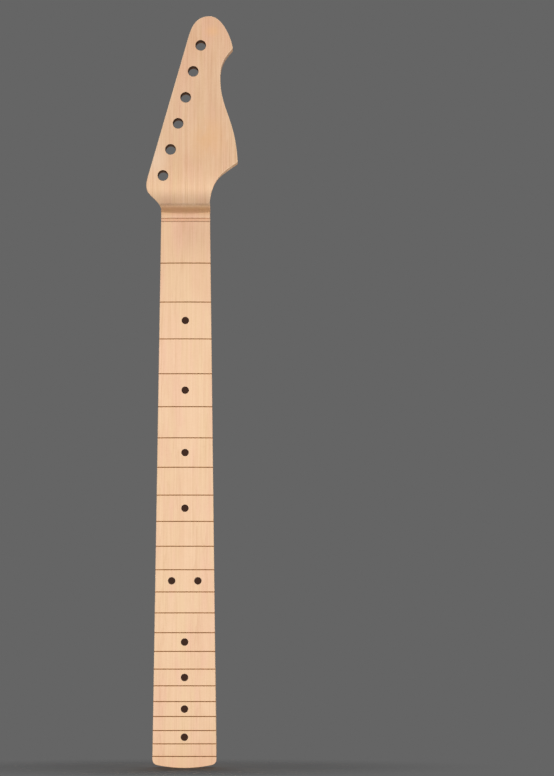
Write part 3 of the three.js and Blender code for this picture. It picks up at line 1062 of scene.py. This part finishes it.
def growth_rings(wood, pith, lean, pitch, waviness):
    """Thin dark lines of late wood round a pith that leans along the neck."""
    wave = wood.noise((14, 14, 150), 3.0, 0.5) - 0.5
    fine = wood.noise((4, 4, 45), 3.0, 0.6) - 0.5
    broad = wood.noise((11, 11, 300), 2.0, 0.5) - 0.5
    radius = length(*(value - (wood.z * slope + centre)
                      for value, centre, slope in zip((wood.x, wood.y), pith, lean)))
    radius = radius + wave * waviness + broad * (pitch * 9) + fine * (pitch * 2.3)
    phase = wood.math("FRACT", radius / pitch)
    line = wood.ramp(phase, (0.0, 0.0), (1.0, 0.0), (0.5, 0.12), (0.86, 1.0), (0.93, 0.75))
    return line * wood.noise((pitch * 4, pitch * 4, 260), 3.0, 0.6).step(0.42, 0.66)


def maple(name, pith, lean, pitch, waviness, grain, light, deep, rose, straw, marks):
    """Raw sanded maple: growth rings, fibre, cloudy figure, flecks and darker end grain."""
    wood = Shader(name, light, specular=0.22)
    cloud = wood.noise((16, 16, 45), 3.0, 0.55).step(0.35, 0.72)
    blush = wood.noise((13, 13, 60), 2.0, 0.5).step(0.42, 0.66)
    pale = wood.noise((9, 9, 80), 2.0, 0.5).step(0.44, 0.66)
    rings = growth_rings(wood, pith, lean, pitch, waviness)
    fibre = wood.noise((0.28, 0.28, 14), 3.0, 0.6)
    streak = wood.noise((1.2, 1.2, 110), 2.0, 0.6)
    hair = wood.noise((0.9, 0.9, 50), 3.0, 0.65).step(0.52, 0.68)
    chatter = wood.noise((5, 5, 1.3), 2.0, 0.6)
    fleck = wood.noise((0.22, 0.22, 2.4), 1.0, 0.5).step(0.69, 0.78)
    pores = wood.noise((0.16, 0.16, 6), 1.0, 0.5).step(0.52, 0.66)
    end_grain = wood.facing()[2].step(0.35, 1.0)

    wood.paint(cloud * 0.5, deep)
    wood.paint(blush * 0.55, rose)
    wood.paint(pale * 0.5, straw)
    wood.paint(rings * 0.17, late_wood)
    wood.paint(hair * (0.2 * grain), hair_brown)
    shade = streak * (0.24 * grain) + (1 - 0.12 * grain)
    shade = shade * (fibre * (0.16 * grain) + (1 - 0.08 * grain))
    shade = shade * (chatter * 0.05 + 0.975)
    wood.tone(1.0, wood.node("CombineColor", "Color", {
        "Red": shade, "Green": shade ** 1.4, "Blue": shade ** 2.0,
    }))
    wood.paint(fleck * 0.22, fleck_brown)
    wood.paint(end_grain * (pores * 0.25 + 0.32), end_grain_brown)
    for mark in marks:
        mark(wood)
    wood.bump(fleck * -0.6 + fibre + rings * 0.4, 0.005, 0.6)
    return wood.finish(end_grain * 0.15 + fibre * 0.16 + 0.56)


def stain(wood, *stains):
    """Stains at places inside the neck: place, radii, share and colour, then for some the size of
    the blotches that break them up."""
    for place, radii, share, colour, *blotches in stains:
        spot = wood.near(place, radii)
        for sizes in blotches:
            spot = spot * (wood.noise(sizes, 3.0, 0.6).step(0.35, 0.6) * 0.65 + 0.35)
        wood.paint(spot * share, colour)


def knots(wood, *places):
    """Small knots, dark lines that curl round a place: place, radii, share, colour and spacing."""
    for place, radii, share, colour, spacing in places:
        spot = wood.near(place, radii)
        swirl = (wood.noise((2.2, 2.2, 3.4), 3.0, 0.6) - 0.5) * 2.4
        turns = wood.math("FRACT", (spot + swirl) * spacing)
        line = abs(turns - 0.5).step(0.42, 0.1)
        wood.paint(spot * (line * 0.75 + 0.25) * share, colour)


reddish = (0.6, 0.31, 0.17)
tan = (0.74, 0.42, 0.2)
deep_tan = (0.68, 0.38, 0.17)
tip_tan = (0.64, 0.36, 0.18)
swirl_tan = (0.55, 0.3, 0.15)
orange = (0.55, 0.26, 0.09)
dark = (0.13, 0.05, 0.025)
tan_edge_across = (9.2, 10)


def shaft_marks(wood):
    """Knots and a redder streak on the bass side, and tan streaks and a fleck on the headstock."""
    stain(
        wood,
        ((-21, 45, 14), (12, 12, 110), 0.3, reddish),
        ((-22, 62, 14), (8, 10, 42), 0.8, orange, (3, 3, 16)),
        ((-24, 290, 12), (10, 14, 140), 0.4, reddish, (8, 8, 60)),
        ((-12.5, 362, 23), (5, 8, 42), 0.5, (0.84, 0.5, 0.25), (3, 3, 40)),
        ((5, 260, 22), (9, 8, 170), 0.4, (0.95, 0.71, 0.51)),
        ((-21, 51, 14), (7, 8, 10), 0.5, (0.5, 0.24, 0.09)),
    )
    knots(
        wood,
        ((-19.5, 47.5, 15), (9, 9, 12), 1.0, (0.24, 0.09, 0.03), 4.5),
        ((-19, 27, 15), (7, 8, 13), 0.5, (0.42, 0.2, 0.09), 2.5),
        ((-13, 145.5, 21), (11, 9, 15), 0.5, swirl_tan, 1.6),
        ((-20, 132, 15), (9, 9, 11), 0.45, swirl_tan, 1.4),
    )
    stain(
        wood,
        ((-19, 45.4, 15), (1.3, 2, 1.6), 0.85, dark),
        ((-20.6, 48.6, 14), (1.3, 2, 1.6), 0.85, dark),
    )
    unstreaked = wood.colour
    stain(
        wood,
        ((16, -100, 24), (15, 8, 68), 0.75, tan, (5, 5, 40)),
        ((15.5, -68, 24), (9, 8, 26), 0.75, deep_tan, (3, 3, 12)),
    )
    streaked, wood.colour = wood.colour, unstreaked
    wood.paint(wood.x.step(*tan_edge_across), streaked)
    stain(
        wood,
        ((32, -60, 24), (15, 8, 30), 0.55, (0.9, 0.66, 0.5)),
        ((4, -12, 21), (22, 8, 20), 0.5, (0.95, 0.7, 0.53)),
        ((20.8, -77.5, 23.5), (1, 2, 2.2), 0.6, (0.35, 0.17, 0.07)),
        ((8, -172, 24), (34, 8, 44), 0.6, tip_tan),
        # Painted highlight: a paler patch on the face of the headstock's bass side.
        ((-26, -57, 9.5), (17, 5, 26), 0.5, (0.86, 0.64, 0.47)),
        ((20, -76, 9.5), (26, 5, 28), 0.5, tan, (8, 8, 16)),
        ((23, -171, 10), (9, 8, 7), 0.35, (0.85, 0.47, 0.2)),
    )


def tones_along(wood, *tones):
    """Multiplies the colour by tones, each of which comes in from a first station to a second."""
    for first, second, tone in tones:
        wood.tone(wood.station.step(first, second), tone)


def shaft_painted_light_falloff(wood):
    """Painted light: the headstock is painted a deeper tan than the shaft and the heel a little
    deeper, and the shaft is painted paler in its middle, where the light falls brightest.
    """
    tones_along(
        wood,
        (-15, -60, (0.845, 0.80, 0.785)),
        (-40, -110, (0.97, 0.965, 0.96)),
        (-110, -180, (0.99, 0.95, 0.94)),
        (120, 330, (1.01, 1.04, 1.1)),
        (415, 480, (0.95, 0.91, 0.86)),
    )


def shaft_sides_painted_shade(wood):
    """Painted shade: both sides of the shaft's back are painted deeper in colour near the nut."""
    beside = abs(wood.x)
    share = within(
        (wood.depth, board_thickness, board_thickness + 3),
        (wood.station, -30, -8), (wood.station, 150, 60),
        (beside, 6, 15), (beside, 24, 15),
    )
    wood.tone(share * 0.8, (0.83, 0.79, 0.76))


def head_face_painted_light(wood):
    """Painted light: the headstock's face is painted paler than its back."""
    middle = (head_drop + head_back_depth) / 2
    wood.tone(within((wood.station, -30, -90), (wood.depth, middle, middle - 4)),
              (1.04, 1.075, 1.11))


def board_tones_and_painted_light(wood):
    """Painted light: the board is painted deeper in colour towards both ends, and its overhang is
    painted paler underneath, where the heel shades it.
    """
    tones_along(wood, (110, 0, (0.91, 0.87, 0.85)), (440, 490, (0.97, 0.91, 0.88)))
    # The board's own colour: a slightly darker patch near the nut on the treble side.
    wood.tone(wood.near((8, 10, 0), (26, 42, 30)), (0.93, 0.92, 0.94))
    # Painted light on the overhang's underside, lifting the heel's shadow.
    overhang = within(
        (wood.depth, board_thickness - 0.12, board_thickness - 0.04),
        (wood.station, heel_end - 1, heel_end),
    )
    wood.tone(overhang, (1.14, 1.42, 1.6))


def painted_scoop_shade(wood):
    """Painted shade: the scoop is painted browner down its wall, the shade of its slope, and greyer
    over its foot, the painted shadow of the board's step.
    """
    for high, low, tone in (
        ((-33, -18), (-13.5, -17), (0.68, 0.66, 0.66)),
        ((-16, -11.5), (-4, -9.5), (0.85, 0.77, 0.66)),
    ):
        wood.tone(within((wood.depth, head_drop + 2, head_drop + 1),
                         (wood.station, *high), (wood.station, *low)), tone)


def crest_painted_highlight(wood):
    """Painted highlight: the crest of the fold is painted paler."""
    crest = wood.node("FloatCurve", "Value", {"Value": wood.x * (0.5 / head_reach) + 0.5})
    mapping = crest.socket.node.mapping
    points = mapping.curves[0].points
    for share in np.linspace(0, 1, crest_points):
        height = -fold_crest((share - 0.5) * 2 * head_reach) / fold_reach_treble
        if share in (0, 1):
            points[-int(share)].location = (share, height)
        else:
            points.new(share, height)
    mapping.update()
    line = within(
        (abs(wood.station + crest * fold_reach_treble), 1.7, 0.3),
        (wood.depth, head_drop, head_back_depth - 2),
    )
    wood.paint(line * 0.24, (0.98, 0.77, 0.55))


def bore_painted_shade(wood):
    """Painted shade: the walls of the drilled holes are painted browner than the sanded faces round
    them.
    """
    first = tuner_places()[0]
    lean, rise = straight_edge_direction
    right = wood.x - first[0]
    down = wood.station + first[1]
    along = right * lean - down * rise
    beside = right * rise + down * lean
    hole = (along / tuner_pitch).nearest(0, tuner_count - 1)
    from_tuner_hole = length(along - hole * tuner_pitch, beside)
    from_pilot = length(abs(wood.x) - heel_screw_across / 2, abs(wood.z) - heel_screw_along / 2)
    for distance, radius, rim in (
        (from_tuner_hole, tuner_hole_diameter / 2, hole_rim_round),
        (from_pilot, pilot_diameter / 2, pilot_rim_round),
    ):
        wood.paint(distance.step(radius + rim, radius + rim * 0.6) * 0.9, (0.07, 0.03, 0.016))


def rim_painted_highlight(wood):
    """Painted highlight: along the headstock's outline the rounded edge is painted paler."""
    facing = wood.facing()[1]
    rounded = within(
        (facing, 0.15, 0.5), (facing, 0.995, 0.93),
        (wood.station, -fold_reach_bass, -fold_reach_treble),
    )
    wood.paint(rounded * 0.4, (0.96, 0.74, 0.52))


def fret_slot_painted_shade(wood):
    """Painted shade: the fret slots are painted dark inside, and the crown beside each of them is
    painted a little darker.
    """
    left = 1 - wood.station / scale_length
    fret = (wood.math("LOGARITHM", left, 2.0) * -octave_fret).nearest(1, fret_count)
    left_at_fret = wood.math("POWER", 2.0, fret / -octave_fret)
    from_slot = abs(left - left_at_fret) * scale_length
    sunk = wood.depth - wood.x * wood.x / (board_radius_at_nut + board_radius_at_end)
    wood.tone(within((from_slot, 0.68, 0.42), (sunk, 0.5, 0.25)), (0.86, 0.7, 0.54))
    slot = within(
        (sunk, 0.08, 0.5),
        (sunk, fret_slot_depth + 0.6, fret_slot_depth + 0.3),
        (from_slot, 0.36, 0.32),
    )
    wood.paint(slot * 0.93, (0.24, 0.08, 0.018))


def nut_slot_painted_shade(wood):
    """Painted shade: the nut slot's floor is painted a little darker than the crown, and painted
    shadow darkens it beside its walls.
    """
    above = wood.station * -1
    slot = within(
        (above, -0.02, 0.02), (above, nut_slot_width + 0.02, nut_slot_width - 0.02),
        (wood.depth, 0.95, 1.4),
    )
    wood.paint(slot * 0.4, (0.58, 0.35, 0.21))
    for wall, reach, share in ((0, 1.35, 0.9), (nut_slot_width, 0.7, 0.45)):
        wood.paint(abs(above - wall).step(reach, 0.1) * slot * share, (0.28, 0.12, 0.05))


def black_inlay():
    rod = Shader("inlay_black", (0.036, 0.015, 0.009), specular=0.2)
    scratch = rod.noise((0.12, 0.4, 3), 3.0, 0.6)
    speck = rod.noise((0.25, 0.25, 0.25), 1.0, 0.5).step(0.62, 0.75)
    rod.paint(scratch, (0.058, 0.028, 0.018))
    rod.paint(speck * 0.3, (0.1, 0.07, 0.055))
    rod.bump(scratch, 0.01, 0.5)
    return rod.finish(scratch * 0.25 + 0.34)


def worked_metal(name, light, dark, sizes, roughness):
    """Metal with drawn or turned lines, a little tarnish and small dents."""
    metal = Shader(name, light, metallic=1.0)
    line = metal.noise(sizes, 3.0, 0.65)
    tarnish = metal.noise((5, 5, 9), 3.0, 0.6).step(0.4, 0.75)
    metal.paint(line, dark)
    metal.paint(tarnish * 0.35, dark)
    metal.bump(line, 0.015, 0.6)
    return metal.finish(tarnish * 0.12 + line * 0.2 + (roughness - 0.1))


def shrunk_sleeve():
    sleeve = Shader("shrunk_sleeve", (0.012, 0.012, 0.013))
    ripple = sleeve.noise((1.5, 1.5, 12), 2.0, 0.5)
    haze = sleeve.noise((0.3, 0.3, 0.8), 2.0, 0.6)
    sleeve.paint(haze, (0.035, 0.035, 0.037))
    sleeve.bump(ripple, 0.06, 0.6)
    return sleeve.finish(haze * 0.25 + 0.42)


# Stage, lights and camera

camera_focal_pixels = 3375
photo_width_pixels = 554
camera_depth = -2936
camera_station = 388.55
camera_across = 80.15
camera_tilt = 4.72
sensor_width = 36
view_distance_limit = 30  # metres
background_grey = 0.13
floor_rings = (60, 120, 200, 300, 400)
floor_sides = 96
floor_fade = (40, 300)
lit_station = 280
light_distance = 1500
main_light_width = 40
side_light_distance = 1400
side_light_size = 600


def make_camera():
    data = bpy.data.cameras.new("camera")
    data.sensor_fit = "HORIZONTAL"
    data.sensor_width = sensor_width
    data.lens = camera_focal_pixels / photo_width_pixels * sensor_width
    data.clip_end = view_distance_limit
    camera = bpy.data.objects.new("camera", data)
    camera.location = to_world(camera_across, camera_station, camera_depth)
    camera.rotation_euler = (math.radians(90 + camera_tilt), 0, 0)
    bpy.context.scene.collection.objects.link(camera)
    bpy.context.scene.camera = camera


def add_light(data, place, glossy):
    """A light at a place inside the neck's frame, aimed at the neck's middle."""
    light = bpy.data.objects.new(data.name, data)
    light.visible_glossy = glossy
    light.location = to_world(*place)
    aim = to_world(0, lit_station, 0) - light.location
    light.rotation_euler = aim.to_track_quat("-Z", "Y").to_euler()
    bpy.context.scene.collection.objects.link(light)


def main_light(name, facing, tilt, strength):
    """Even light on one side of the neck, from this many degrees above its middle or below."""
    data = bpy.data.lights.new(name, "SUN")
    data.angle = math.radians(main_light_width)
    data.energy = strength
    rise = light_distance * math.tan(math.radians(tilt))
    add_light(data, (0, lit_station - rise, facing * light_distance), False)


def side_light(name, side, power):
    data = bpy.data.lights.new(name, "AREA")
    data.size = side_light_size * MM
    data.energy = power
    add_light(data, (side * side_light_distance, lit_station, 0), True)


def make_lights():
    world = bpy.data.worlds.new("world")
    bpy.context.scene.world = world
    world.use_nodes = True
    backdrop = world.node_tree.nodes["Background"].inputs["Color"]
    backdrop.default_value = (background_grey, background_grey, background_grey, 1)
    bpy.context.scene.view_settings.view_transform = "Standard"
    main_light("front_light", -1, -9, 2.9)
    main_light("high_back_light", 1, 50, 2.68)
    main_light("low_back_light", 1, -50, 1.77)
    side_light("treble_light", 1, 1.5)
    side_light("bass_light", -1, 2.0)


def floor_paint():
    """Paint that fades into the backdrop, and that can be seen through from below."""
    coat = Shader("floor_paint", (0.1, 0.1, 0.1))
    coat.paint(coat.noise((60, 60, 60), 3.0, 0.5), (0.11, 0.11, 0.11))
    faded = length(coat.x, coat.y).step(*floor_fade)
    underside = coat.node("NewGeometry", "Backfacing")
    seen = coat.node("MixShader", "Shader", {
        0: coat.math("MAXIMUM", faded, underside),
        1: Value(coat, coat.surface.outputs["BSDF"]),
        2: coat.node("BsdfTransparent", "BSDF"),
    })
    coat.feed(coat.tree.nodes["Material Output"].inputs["Surface"], seen)
    return coat.finish(0.9)


def make_floor():
    """A round floor under the neck's end, which casts no shadow on it."""
    build = Builder()
    angles = [2 * math.pi * i / floor_sides for i in range(floor_sides)]
    middle = heel_thickness / 2
    rows = [build.add([(r * math.cos(a), board_end, middle + r * math.sin(a)) for a in angles])
            for r in floor_rings]
    build.cap(rows[0])
    build.skin(rows, closed=True)
    floor = build.build("floor")
    if floor.data.polygons[0].normal.z < 0:
        floor.data.flip_normals()
    floor.data.materials.append(floor_paint())
    floor.visible_shadow = False


# Assembly

def stands_for(piece, node, body="neck"):
    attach(piece, body)
    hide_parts(node)


def dress(piece, name, material):
    piece.name = name
    piece.data.materials.clear()
    piece.data.materials.append(material)


make_camera()
make_lights()
make_floor()

shaft_maple = maple(
    "shaft_maple", pith=(150, 30), lean=(0.01, 0.02), pitch=1.7, waviness=5, grain=1.05,
    light=(0.89, 0.61, 0.39), deep=(0.79, 0.49, 0.285),
    rose=(0.87, 0.54, 0.36), straw=(0.86, 0.6, 0.355),
    marks=(shaft_painted_light_falloff, shaft_sides_painted_shade, head_face_painted_light, shaft_marks, painted_scoop_shade, rim_painted_highlight,
           crest_painted_highlight, bore_painted_shade),
)
board_maple = maple(
    "board_maple", pith=(4, 52), lean=(0.02, 0.035), pitch=2.1, waviness=4, grain=0.6,
    light=(0.88, 0.6, 0.39), deep=(0.83, 0.53, 0.33),
    rose=(0.87, 0.54, 0.38), straw=(0.86, 0.61, 0.37),
    marks=(board_tones_and_painted_light, painted_scoop_shade, fret_slot_painted_shade, nut_slot_painted_shade),
)
inlay = black_inlay()
steel = worked_metal("plated_steel", (0.6, 0.6, 0.6), (0.4, 0.39, 0.37), (0.5, 0.5, 0.12), 0.34)
brass = worked_metal("block_brass", (0.75, 0.56, 0.27), (0.5, 0.35, 0.16), (0.15, 0.4, 2.5), 0.36)

neck = make_neck()
dress(neck, "shaft_and_headstock", shaft_maple)
stands_for(neck, "neck_shaft")
board = make_board()
dress(board, "slotted_board", board_maple)
stands_for(board, "fretboard")

for label, across, station, beside in dot_places():
    for kind, name, dot in (
        ("face_dot_", "face_inlay_" + label, face_dot("face_dot", across, station)),
        ("side_dot_", "side_inlay_" + label, side_dot("side_dot", beside)),
    ):
        dot = soften(dot)
        dress(dot, name, inlay)
        stands_for(dot, kind + label)

nut = make_truss_nut()
dress(nut, "socket_nut", steel)
stands_for(nut, "truss_adjusting_nut", "adjuster")

hidden_pieces = {
    "truss_rod": steel,
    "truss_bar": steel,
    "truss_front_block": brass,
    "truss_rear_block": brass,
    "truss_sleeve": shrunk_sleeve(),
}
for node, material in hidden_pieces.items():
    for place in bpy.data.objects[node].material_slots:
        place.material = material
